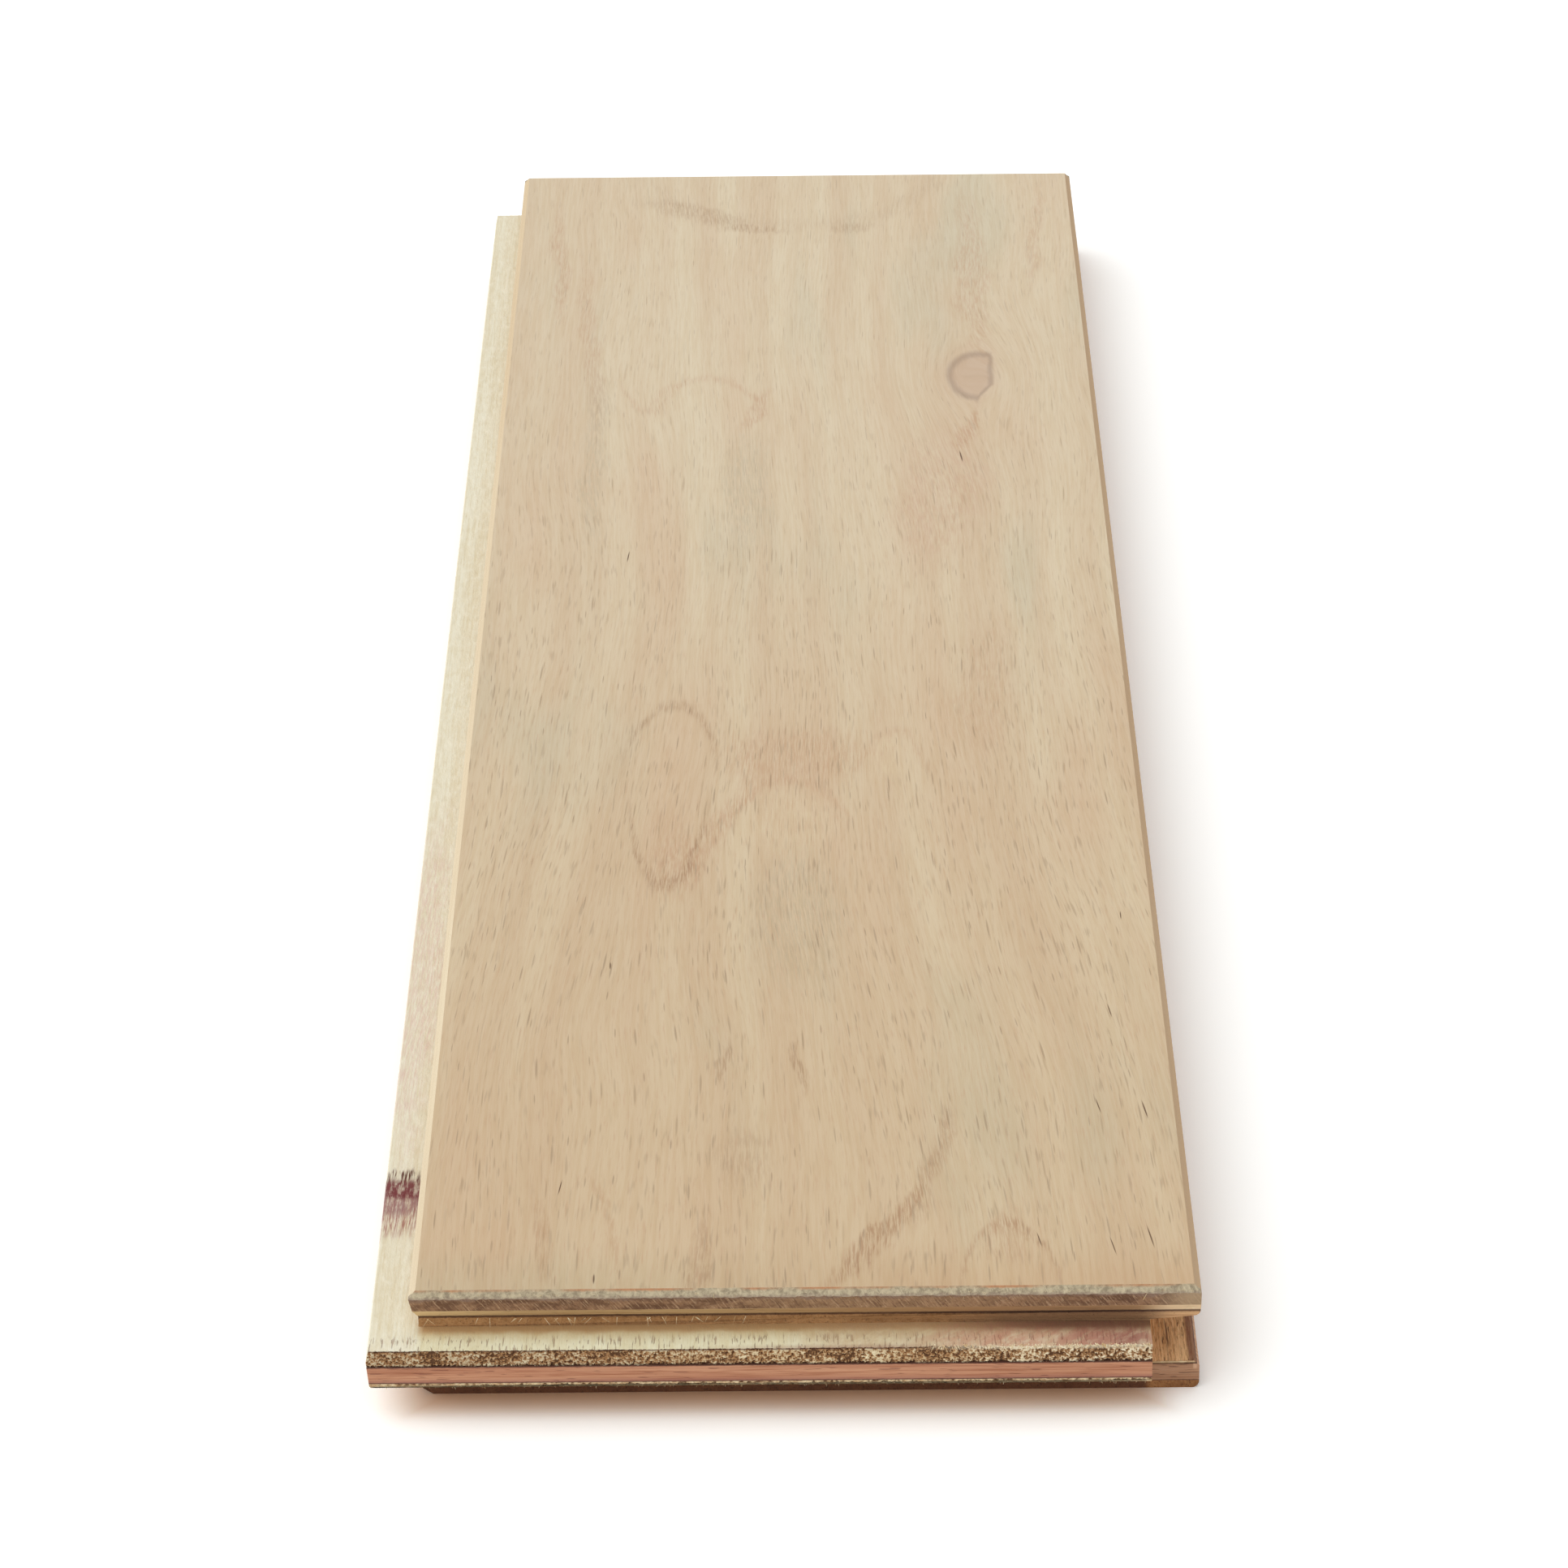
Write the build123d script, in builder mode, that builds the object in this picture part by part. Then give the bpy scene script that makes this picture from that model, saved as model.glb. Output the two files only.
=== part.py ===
from build123d import *
import os

os.makedirs("parts", exist_ok=True)

# Face of the laid block; the tongues stand outside it
face_width = 90.0
face_length = 360.0

# Layers of the glued board, from the underside up
back_veneer_thickness = 1.0
lip_ply_thickness = 2.25
groove_ply_thickness = 1.65
middle_ply_thickness = 2.25
tongue_ply_thickness = 1.95
upper_ply_thickness = 1.35
face_veneer_thickness = 1.05
oak_thickness = 2.5

# Heights of the glue lines that the milling follows
lip_glue_line = back_veneer_thickness + lip_ply_thickness
groove_glue_line = lip_glue_line + groove_ply_thickness
tongue_glue_line = groove_glue_line + middle_ply_thickness + tongue_ply_thickness
veneer_glue_line = tongue_glue_line + upper_ply_thickness
oak_glue_line = veneer_glue_line + face_veneer_thickness
block_thickness = oak_glue_line + oak_thickness

# Tongue: its top is cut at a glue line, and its tip leads in at the top and tapers underneath
tongue_length = 4.75
tongue_below_middle_ply = 0.75
tip_lead_in = 0.3
tip_crown_drop = 1.3
tip_taper = 0.3
tip_round = 0.5

# Shoulder above the tongue leans inwards so that the joint closes at the face; the part below stands back
oak_undercut = 0.35
shoulder_undercut = 1.0
lower_set_back = 1.2
lower_chamfer_width = 1.2
lower_chamfer_height = 0.8

# Groove: the tongue's size with room round it, opening a little towards its mouth
groove_headroom = 0.15
groove_floor_room = 0.65
side_groove_tip_room = 1.0
end_groove_tip_room = 0.25
mouth_flare = 0.5
mouth_round = 0.75
lip_chamfer = 0.6
lip_round = 0.9

# Small bevel round the four edges of the face
face_bevel = 0.8

tongue_top = tongue_glue_line
tongue_bottom = groove_glue_line - tongue_below_middle_ply
groove_ceiling = tongue_top + groove_headroom
groove_floor = tongue_bottom - groove_floor_room


def milled_section(face_span, groove_depth, chamfered_below):
    """Section across the block, with the tongue at its low end and the groove at its high end."""
    edge = face_span / 2
    tip = -edge - tongue_length
    with BuildSketch() as section:
        with Locations((0, block_thickness / 2)):
            Rectangle(face_span, block_thickness)
        with BuildLine():
            Polyline(
                (-edge, tongue_top),
                (tip + tip_lead_in, tongue_top),
                (tip, tongue_top - tip_crown_drop),
                (tip + tip_taper, tongue_bottom),
                (-edge, tongue_bottom),
                close=True,
            )
        make_face()
        with BuildLine():
            Polyline(
                (-edge, block_thickness - face_bevel),
                (-edge + oak_undercut, oak_glue_line),
                (-edge + shoulder_undercut, veneer_glue_line),
                (-edge + shoulder_undercut, tongue_top),
                (-edge, tongue_top),
                close=True,
            )
        make_face(mode=Mode.SUBTRACT)
        with BuildLine():
            Polyline(
                (-edge, tongue_bottom),
                (-edge + lower_set_back, tongue_bottom),
                (-edge + lower_set_back, 0),
                (-edge, 0),
                close=True,
            )
        make_face(mode=Mode.SUBTRACT)
        if chamfered_below:
            with BuildLine():
                Polyline(
                    (-edge + lower_set_back, lower_chamfer_height),
                    (-edge + lower_set_back + lower_chamfer_width, 0),
                    (-edge + lower_set_back, 0),
                    close=True,
                )
            make_face(mode=Mode.SUBTRACT)
        with BuildLine():
            Polyline(
                (edge - groove_depth, groove_floor),
                (edge, groove_floor),
                (edge, groove_ceiling + mouth_flare),
                (edge - groove_depth, groove_ceiling),
                close=True,
            )
        make_face(mode=Mode.SUBTRACT)
        fillet(section.vertices().sort_by_distance((tip + tip_taper, tongue_bottom))[0], tip_round)
        fillet(section.vertices().sort_by_distance((edge, groove_ceiling + mouth_flare))[0], mouth_round)
        chamfer(section.vertices().sort_by_distance((edge, groove_floor))[0], lip_chamfer)
        fillet(section.vertices().sort_by_distance((edge, 0))[0], lip_round)
        chamfer(section.vertices().group_by(Axis.Y)[-1], face_bevel)
    return section.sketch


# The whole block: the same edge tools pass along its sides and then across its ends.
# The lower edge is chamfered beside the side tongue only; the tongued end stands square on the floor
with BuildPart() as block:
    with BuildSketch(Plane.XZ):
        add(milled_section(face_width, tongue_length + side_groove_tip_room, True))
    extrude(amount=face_length, both=True)
    with BuildSketch(Plane.YZ):
        add(milled_section(face_length, tongue_length + end_groove_tip_room, False))
    extrude(amount=face_width, both=True, mode=Mode.INTERSECT)

# Back veneer: thin dark sheet that the block is glued down on
with BuildPart() as back_veneer:
    add(block.part)
    split(bisect_by=Plane.XY.offset(back_veneer_thickness), keep=Keep.BOTTOM)
back_veneer.part.label = "back_veneer"
export_step(back_veneer.part, "parts/back_veneer.step")

# Lip ply: cross ply that is the body of the groove's lower lip
with BuildPart() as lip_ply:
    add(block.part)
    split(bisect_by=Plane.XY.offset(back_veneer_thickness), keep=Keep.TOP)
    split(bisect_by=Plane.XY.offset(lip_glue_line), keep=Keep.BOTTOM)
lip_ply.part.label = "lip_ply"
export_step(lip_ply.part, "parts/lip_ply.step")

# Groove ply: the tongue's underside and the groove's floor are both cut in it
with BuildPart() as groove_ply:
    add(block.part)
    split(bisect_by=Plane.XY.offset(lip_glue_line), keep=Keep.TOP)
    split(bisect_by=Plane.XY.offset(groove_glue_line), keep=Keep.BOTTOM)
groove_ply.part.label = "groove_ply"
export_step(groove_ply.part, "parts/groove_ply.step")

# Middle ply: red cross ply, the lower half of the tongue
with BuildPart() as middle_ply:
    add(block.part)
    split(bisect_by=Plane.XY.offset(groove_glue_line), keep=Keep.TOP)
    split(bisect_by=Plane.XY.offset(groove_glue_line + middle_ply_thickness), keep=Keep.BOTTOM)
middle_ply.part.label = "middle_ply"
export_step(middle_ply.part, "parts/middle_ply.step")

# Tongue ply: pale ply whose upper side is the top of the tongue
with BuildPart() as tongue_ply:
    add(block.part)
    split(bisect_by=Plane.XY.offset(groove_glue_line + middle_ply_thickness), keep=Keep.TOP)
    split(bisect_by=Plane.XY.offset(tongue_glue_line), keep=Keep.BOTTOM)
tongue_ply.part.label = "tongue_ply"
export_step(tongue_ply.part, "parts/tongue_ply.step")

# Upper ply: the wall above the tongue, and the upper lip of the groove
with BuildPart() as upper_ply:
    add(block.part)
    split(bisect_by=Plane.XY.offset(tongue_glue_line), keep=Keep.TOP)
    split(bisect_by=Plane.XY.offset(veneer_glue_line), keep=Keep.BOTTOM)
upper_ply.part.label = "upper_ply"
export_step(upper_ply.part, "parts/upper_ply.step")

# Face veneer: thin pale sheet under the oak
with BuildPart() as face_veneer:
    add(block.part)
    split(bisect_by=Plane.XY.offset(veneer_glue_line), keep=Keep.TOP)
    split(bisect_by=Plane.XY.offset(oak_glue_line), keep=Keep.BOTTOM)
face_veneer.part.label = "face_veneer"
export_step(face_veneer.part, "parts/face_veneer.step")

# Oak wear layer: the face that is walked on
with BuildPart() as oak_wear_layer:
    add(block.part)
    split(bisect_by=Plane.XY.offset(oak_glue_line), keep=Keep.TOP)
oak_wear_layer.part.label = "oak_wear_layer"
export_step(oak_wear_layer.part, "parts/oak_wear_layer.step")
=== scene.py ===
import math
import random

import bmesh
import bpy
from mathutils import Matrix, Vector, noise


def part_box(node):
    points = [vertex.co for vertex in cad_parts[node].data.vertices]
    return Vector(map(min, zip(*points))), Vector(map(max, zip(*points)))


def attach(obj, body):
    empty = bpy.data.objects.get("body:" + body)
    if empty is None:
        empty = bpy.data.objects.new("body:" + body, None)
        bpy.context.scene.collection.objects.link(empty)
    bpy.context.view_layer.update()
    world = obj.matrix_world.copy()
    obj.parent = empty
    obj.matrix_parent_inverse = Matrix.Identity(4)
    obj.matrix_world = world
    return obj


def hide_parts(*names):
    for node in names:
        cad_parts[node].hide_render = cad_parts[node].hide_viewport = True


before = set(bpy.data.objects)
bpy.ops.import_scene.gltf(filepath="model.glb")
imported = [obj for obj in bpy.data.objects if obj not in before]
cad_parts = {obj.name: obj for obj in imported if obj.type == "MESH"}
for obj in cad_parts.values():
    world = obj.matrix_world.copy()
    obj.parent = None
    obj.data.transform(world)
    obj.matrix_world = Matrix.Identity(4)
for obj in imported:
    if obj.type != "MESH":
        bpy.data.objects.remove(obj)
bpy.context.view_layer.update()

# Oak wear layer: a sawn oak board about 2.5 mm thick, glued on the plywood, brushed and left pale.
# Its grain runs along the block, its ends show cut pores and rays, and a small bevel goes round its face.
MM = 0.001


def corners(node):
    """Lowest and highest corner of a layer, in millimetres."""
    low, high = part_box(node)
    return low / MM, high / MM


face_low, face_high = corners("oak_wear_layer")
front = face_low.y
face_top = face_high.z


def paint(red, green, blue):
    """Linear colour of a swatch given in ordinary 0 to 255 levels."""
    swatch = []
    for level in (red, green, blue):
        level /= 255.0
        swatch.append(level / 12.92 if level <= 0.04045 else ((level + 0.055) / 1.055) ** 2.4)
    return (*swatch, 1.0)


def put(tree, kind, sockets=None, **choices):
    """Add a shader node, make its choices, then set or link its sockets."""
    made = tree.nodes.new("ShaderNode" + kind)
    for name, choice in choices.items():
        setattr(made, name, choice)
    for name, value in (sockets or {}).items():
        if isinstance(value, bpy.types.NodeSocket):
            tree.links.new(value, made.inputs[name])
        else:
            made.inputs[name].default_value = value
    return made


def sums(tree, operation, first, second=0.0):
    """One step of arithmetic on the values of a pattern."""
    return put(tree, "Math", {0: first, 1: second}, operation=operation).outputs[0]


def plus(tree, first, second):
    return sums(tree, "ADD", first, second)


def less(tree, first, second):
    return sums(tree, "SUBTRACT", first, second)


def times(tree, first, *others):
    """Product of two or more values."""
    for other in others:
        first = sums(tree, "MULTIPLY", first, other)
    return first


def ramp(tree, value, low, high, start=0.0, end=1.0):
    """Smooth step of a value between two levels."""
    sockets = {"Value": value, "From Min": low, "From Max": high, "To Min": start, "To Max": end}
    return put(tree, "MapRange", sockets, interpolation_type="SMOOTHSTEP").outputs["Result"]


def tint(tree, factor, under, over, blend_type="MIX"):
    """Lay one colour over another, as strongly as the factor says."""
    sockets = {"Factor": factor, 6: under, 7: over}
    return put(tree, "Mix", sockets, data_type="RGBA", blend_type=blend_type).outputs[2]


def cloud(tree, vector, stretch, detail=2.0, roughness=0.5, place=(0.0, 0.0, 0.0)):
    """Noise with its own number of lumps to the millimetre along each axis."""
    mapped = put(tree, "Mapping", {"Vector": vector, "Scale": stretch, "Location": place}).outputs[0]
    sockets = {"Vector": mapped, "Scale": 1.0, "Detail": detail, "Roughness": roughness}
    return put(tree, "TexNoise", sockets).outputs[0]


def swing(tree, value, reach):
    """A noise value as a shift to both sides of nothing."""
    return times(tree, less(tree, value, 0.5), reach)


def millimetres(tree):
    """The place on the block, in millimetres from its origin."""
    place = put(tree, "TexCoord").outputs["Object"]
    return put(tree, "Mapping", {"Vector": place, "Scale": (1000.0, 1000.0, 1000.0)}).outputs[0]


def axes(tree, vector):
    """The three numbers of a place: across, along and up."""
    return put(tree, "SeparateXYZ", {0: vector}).outputs


def new_group(name, takes, gives):
    """Empty node group with its sockets, and its two end nodes."""
    group = bpy.data.node_groups.new(name, "ShaderNodeTree")
    for title, kind in takes:
        group.interface.new_socket(title, in_out="INPUT", socket_type="NodeSocket" + kind)
    for title, kind in gives:
        group.interface.new_socket(title, in_out="OUTPUT", socket_type="NodeSocket" + kind)
    return group, group.nodes.new("NodeGroupInput"), group.nodes.new("NodeGroupOutput")


def new_finish(name, roughness):
    """A material with its surface shader, ready for its pattern."""
    finish = bpy.data.materials.new(name)
    finish.use_nodes = True
    tree = finish.node_tree
    tree.nodes.clear()
    shader = put(tree, "BsdfPrincipled", {"Roughness": roughness, "Specular IOR Level": 0.25})
    tree.links.new(shader.outputs[0], put(tree, "OutputMaterial").inputs[0])
    return finish, tree, shader


def dress(tree, shader, colour, height, depth):
    """Give a finish its colour and its relief, with the depth of the relief in millimetres."""
    tree.links.new(colour, shader.inputs["Base Color"])
    bump = put(tree, "Bump", {"Height": height, "Distance": depth * MM})
    tree.links.new(bump.outputs[0], shader.inputs["Normal"])


# Grain of the oak: bands that wander and part round the knot, fine fibres, and pores cut as short dashes
oak_grain, taken, given = new_group(
    "oak_grain",
    [("Position", "Vector")],
    [("Bands", "Float"), ("Blush", "Float"), ("Fibre", "Float"), ("Pores", "Float"),
     ("Flecks", "Float"), ("Stroke", "Float"), ("Ragged", "Vector"), ("Crisp", "Vector")],
)
spot = taken.outputs["Position"]
where = axes(oak_grain, spot)
knot_middle = (26.3, 91.0)
knot_reach = (7.0, 17.0)
across = plus(oak_grain, where[0], swing(oak_grain, cloud(oak_grain, spot, (0.022, 0.007, 0.022)), 14.0))
lean = ramp(oak_grain, where[1], -190.0, 40.0, -6.5, 6.5)
lean = times(oak_grain, lean, ramp(oak_grain, where[0], -30.0, 22.0, -0.45, 1.0))
across = plus(oak_grain, across, lean)
beside = sums(oak_grain, "DIVIDE", less(oak_grain, where[0], knot_middle[0]), knot_reach[0])
along = sums(oak_grain, "DIVIDE", less(oak_grain, where[1], knot_middle[1]), knot_reach[1])
spread = plus(oak_grain, times(oak_grain, beside, beside), times(oak_grain, along, along))
push = times(oak_grain, beside, sums(oak_grain, "EXPONENT", times(oak_grain, spread, -1.0)))
across = less(oak_grain, across, times(oak_grain, push, 6.0))
flow = put(oak_grain, "CombineXYZ", {0: across, 1: where[1], 2: where[2]}).outputs[0]
bands = cloud(oak_grain, flow, (0.15, 0.0045, 0.15), 3.0, 0.5)
blush = cloud(oak_grain, flow, (0.07, 0.011, 0.07), 2.0, 0.5, (31.0, 7.0, 0.0))
fibre = cloud(oak_grain, flow, (2.2, 0.075, 2.2), 3.0, 0.65)
crowd = cloud(oak_grain, flow, (0.16, 0.012, 0.16), 2.0, 0.5, (5.0, 3.0, 0.0))
crowd = ramp(oak_grain, crowd, 0.33, 0.62, 0.25, 1.0)
stroke = cloud(oak_grain, flow, (4.6, 0.28, 0.0), 3.0, 0.6, (2.0, 8.0, 0.0))
stroke = ramp(oak_grain, stroke, 0.38, 0.64, 0.1, 1.35)
flecks = ramp(oak_grain, cloud(oak_grain, flow, (4.4, 0.19, 0.0), 2.0, 0.6, (11.0, 3.0, 0.0)), 0.53, 0.74)
pores = ramp(oak_grain, cloud(oak_grain, flow, (2.6, 0.17, 0.0), 1.0), 0.56, 0.75, 0.0, 0.7)
pores = times(oak_grain, pores, crowd)
for cells, place in (
    ((0.62, 0.028, 0.0), (0.0, 0.0, 0.0)),
    ((0.5, 0.023, 0.0), (3.7, 1.9, 0.0)),
    ((0.85, 0.05, 0.0), (8.1, 4.4, 0.0)),
):
    mapped = put(oak_grain, "Mapping", {"Vector": flow, "Scale": cells, "Location": place}).outputs[0]
    cell = put(oak_grain, "TexVoronoi", {"Vector": mapped, "Scale": 1.0}, voronoi_dimensions="2D").outputs
    chance = put(oak_grain, "SeparateColor", {0: cell["Color"]}).outputs[0]
    dash = ramp(oak_grain, cell["Distance"], 0.03, 0.08, 1.0, 0.0)
    pores = sums(oak_grain, "MAXIMUM", pores, times(oak_grain, dash, chance))
fray = swing(oak_grain, cloud(oak_grain, spot, (1.6, 0.1, 0.0), 3.0, 0.65), 7.0)
sway = swing(oak_grain, cloud(oak_grain, spot, (0.12, 0.07, 0.0), 3.0, 0.5, (9.0, 2.0, 0.0)), 6.0)
ragged_x = plus(oak_grain, where[0], sway)
ragged_y = plus(oak_grain, where[1], fray)
ragged = put(oak_grain, "CombineXYZ", {0: ragged_x, 1: ragged_y})
crisp_x = plus(oak_grain, where[0], times(oak_grain, sway, 0.35))
crisp_y = plus(oak_grain, where[1], times(oak_grain, fray, 0.25))
crisp = put(oak_grain, "CombineXYZ", {0: crisp_x, 1: crisp_y})
for title, value in (
    ("Bands", bands),
    ("Blush", blush),
    ("Fibre", fibre),
    ("Pores", pores),
    ("Flecks", flecks),
    ("Stroke", stroke),
    ("Ragged", ragged.outputs[0]),
    ("Crisp", crisp.outputs[0]),
):
    oak_grain.links.new(value, given.inputs[title])

# One mark in the figure of the wood: a soft oval patch, or the lower or the upper half of an oval's rim
grain_mark, taken, given = new_group(
    "grain_mark",
    [("Position", "Vector"), ("Middle", "Vector"), ("Half Size", "Vector"), ("Turn", "Float")],
    [("Patch", "Float"), ("Cup", "Float"), ("Arch", "Float")],
)
middle = taken.outputs["Middle"]
half_size = taken.outputs["Half Size"]
sockets = {"Vector": taken.outputs["Position"], "Center": middle, "Angle": taken.outputs["Turn"]}
turned = put(grain_mark, "VectorRotate", sockets, rotation_type="Z_AXIS").outputs[0]
offset = put(grain_mark, "VectorMath", {0: turned, 1: middle}, operation="SUBTRACT").outputs[0]
flat = put(grain_mark, "VectorMath", {0: offset, 1: (1.0, 1.0, 0.0)}, operation="MULTIPLY").outputs[0]
shrunk = put(grain_mark, "VectorMath", {0: flat, 1: half_size}, operation="DIVIDE").outputs[0]
reach = put(grain_mark, "VectorMath", {0: shrunk}, operation="LENGTH").outputs["Value"]
rim = ramp(grain_mark, sums(grain_mark, "ABSOLUTE", less(grain_mark, reach, 0.94)), 0.12, 0.0)
height = axes(grain_mark, shrunk)[1]
for title, value in (
    ("Patch", ramp(grain_mark, reach, 1.0, 0.4)),
    ("Cup", times(grain_mark, rim, ramp(grain_mark, height, 0.1, -0.7))),
    ("Arch", times(grain_mark, rim, ramp(grain_mark, height, -0.1, 0.7))),
):
    grain_mark.links.new(value, given.inputs[title])


def mark_grain(tree, position, stroke, colour, marks):
    """Lay marks over a colour in fine strokes: kind, middle, half size, turn, swatch and strength."""
    for kind, middle, half_size, turn, swatch, strength in marks:
        sockets = {"Position": position, "Middle": (*middle, 0.0), "Half Size": (*half_size, 1.0)}
        sockets["Turn"] = math.radians(turn)
        made = put(tree, "Group", sockets, node_tree=grain_mark).outputs[kind]
        colour = tint(tree, times(tree, made, stroke, strength), colour, swatch)
    return colour


oak_face, tree, shader = new_finish("oak_face", 0.62)
position = millimetres(tree)
grain = put(tree, "Group", {"Position": position}, node_tree=oak_grain).outputs
colour = tint(tree, ramp(tree, grain["Bands"], 0.3, 0.7), paint(217, 202, 174), paint(210, 190, 161))
colour = tint(tree, ramp(tree, grain["Blush"], 0.48, 0.75, 0.0, 0.75), colour, paint(211, 188, 159))
colour = tint(tree, ramp(tree, grain["Blush"], 0.46, 0.26, 0.0, 0.75), colour, paint(205, 194, 168))
brown, rose, grey = paint(158, 124, 94), paint(192, 156, 126), paint(186, 176, 152)
oak_marks = [
    ("Cup", (-2.0, 192.0), (28.0, 38.0), -8.0, brown, 0.13),
    ("Patch", (-16.5, 162.0), (14.0, 4.6), 38.0, brown, 0.25),
    ("Patch", (-7.0, 155.0), (7.0, 2.4), 15.0, brown, 0.3),
    ("Patch", (9.0, 155.0), (4.0, 2.6), -20.0, brown, 0.25),
    ("Patch", (-38.0, 140.0), (1.6, 34.0), -3.0, rose, 0.35),
    ("Patch", (-32.0, 105.0), (2.0, 50.0), -4.0, rose, 0.32),
    ("Patch", (27.5, 132.0), (3.4, 48.0), 0.0, rose, 0.35),
    ("Patch", (38.0, 150.0), (1.8, 30.0), 3.0, rose, 0.3),
    ("Patch", (25.4, 70.0), (1.6, 11.0), 3.0, rose, 0.5),
    ("Patch", (20.5, 46.0), (9.0, 36.0), 5.0, paint(200, 168, 142), 0.4),
    ("Arch", (-14.0, 72.0), (9.5, 21.0), 0.0, rose, 0.3),
    ("Cup", (-22.5, 98.0), (5.0, 21.0), 0.0, rose, 0.28),
    ("Patch", (-6.6, 79.0), (1.8, 10.0), 14.0, rose, 0.45),
    ("Patch", (-30.0, 60.0), (3.0, 44.0), 0.0, grey, 0.3),
    ("Patch", (-8.0, 46.0), (5.0, 30.0), 0.0, grey, 0.35),
    ("Patch", (25.0, -20.0), (6.0, 30.0), 6.0, rose, 0.25),
    ("Patch", (-15.8, -73.0), (5.0, 12.0), 0.0, rose, 0.35),
    ("Patch", (-10.5, -62.0), (2.6, 22.0), 14.0, rose, 0.4),
    ("Patch", (-1.0, -41.0), (14.0, 11.5), 0.0, rose, 0.38),
    ("Patch", (-1.5, -62.0), (7.5, 15.0), 0.0, paint(218, 203, 174), 0.6),
    ("Arch", (-1.5, -66.0), (8.5, 19.0), 0.0, rose, 0.35),
    ("Patch", (11.5, -41.0), (4.0, 9.0), 0.0, paint(220, 204, 174), 0.5),
    ("Arch", (11.0, -54.0), (5.5, 22.0), 6.0, rose, 0.25),
    ("Patch", (-0.5, -88.0), (9.0, 26.0), 0.0, grey, 0.36),
    ("Patch", (-0.2, -126.5), (0.8, 8.0), 0.0, brown, 0.4),
    ("Patch", (-9.4, -126.0), (0.7, 7.0), 0.0, brown, 0.35),
    ("Patch", (-7.0, -150.0), (5.0, 10.0), 0.0, paint(172, 146, 120), 0.26),
    ("Patch", (15.5, -150.0), (1.8, 20.0), 12.0, paint(170, 134, 104), 0.35),
    ("Patch", (8.6, -168.0), (2.0, 17.0), 24.0, paint(164, 124, 92), 0.48),
    ("Patch", (23.2, -168.0), (3.2, 9.0), 0.0, paint(180, 142, 112), 0.3),
    ("Arch", (23.2, -184.0), (5.4, 20.0), 0.0, paint(168, 130, 100), 0.36),
    ("Patch", (-12.4, -172.0), (1.8, 14.0), 2.0, paint(170, 136, 108), 0.34),
    ("Patch", (-30.0, -168.0), (1.4, 17.0), -8.0, paint(184, 150, 118), 0.34),
    ("Patch", (-23.0, -165.0), (1.0, 18.0), -8.0, paint(188, 152, 120), 0.3),
]
colour = mark_grain(tree, grain["Ragged"], grain["Stroke"], colour, oak_marks)
eye = [
    ("Patch", (-17.5, -66.0), (4.4, 14.0), 0.0, rose, 0.2),
    ("Arch", (-17.8, -48.0), (6.6, 25.0), 2.0, brown, 0.36),
    ("Cup", (-17.6, -50.0), (5.6, 30.0), 0.0, brown, 0.46),
]
colour = mark_grain(tree, grain["Crisp"], grain["Stroke"], colour, eye)

# The knot: a branch cut through, round on one side and straight on the other, with a grey bark line
knot_at = axes(tree, grain["Crisp"])
round_middle = (27.5, 91.6)
round_half = (4.9, 9.8)
round_x = sums(tree, "DIVIDE", less(tree, knot_at[0], round_middle[0]), round_half[0])
round_y = sums(tree, "DIVIDE", less(tree, knot_at[1], round_middle[1]), round_half[1])
round_side = sums(tree, "SQRT", plus(tree, times(tree, round_x, round_x), times(tree, round_y, round_y)))
straight_at = 29.4
lower_at = (27.0, 82.0)
lower_slope = 0.4
bark_width = 3.0
straight_side = plus(tree, sums(tree, "DIVIDE", less(tree, knot_at[0], straight_at), bark_width), 1.0)
slope = times(tree, less(tree, knot_at[1], lower_at[1]), lower_slope)
lower_side = less(tree, less(tree, knot_at[0], lower_at[0]), slope)
lower_side = plus(tree, sums(tree, "DIVIDE", lower_side, bark_width), 1.0)
knot = sums(tree, "MAXIMUM", round_side, sums(tree, "MAXIMUM", straight_side, lower_side))
colour = tint(tree, ramp(tree, knot, 1.7, 0.9, 0.0, 0.4), colour, paint(206, 180, 154))
colour = tint(tree, ramp(tree, knot, 1.0, 0.75, 0.0, 0.6), colour, paint(196, 170, 146))
bark = ramp(tree, sums(tree, "ABSOLUTE", less(tree, knot, 0.9)), 0.22, 0.0, 0.0, 0.6)
colour = tint(tree, bark, colour, paint(160, 138, 120))

colour = tint(tree, ramp(tree, grain["Fibre"], 0.36, 0.66), colour, paint(249, 246, 242), "MULTIPLY")
place = axes(tree, position)
colour = tint(tree, ramp(tree, place[1], 120.0, front), colour, paint(246, 238, 228), "MULTIPLY")
front_tone = tint(tree, ramp(tree, place[0], -42.0, 30.0), paint(246, 251, 251), paint(248, 241, 235))
colour = tint(tree, ramp(tree, place[1], front + 12.0, front + 1.0), colour, front_tone, "MULTIPLY")
reddish = times(tree, grain["Flecks"], ramp(tree, place[1], 120.0, -120.0, 0.2, 0.5))
colour = tint(tree, reddish, colour, paint(192, 158, 126))
open_pores = times(tree, grain["Pores"], ramp(tree, place[1], 120.0, -60.0, 0.25, 0.64))
colour = tint(tree, open_pores, colour, paint(154, 131, 104))
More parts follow.
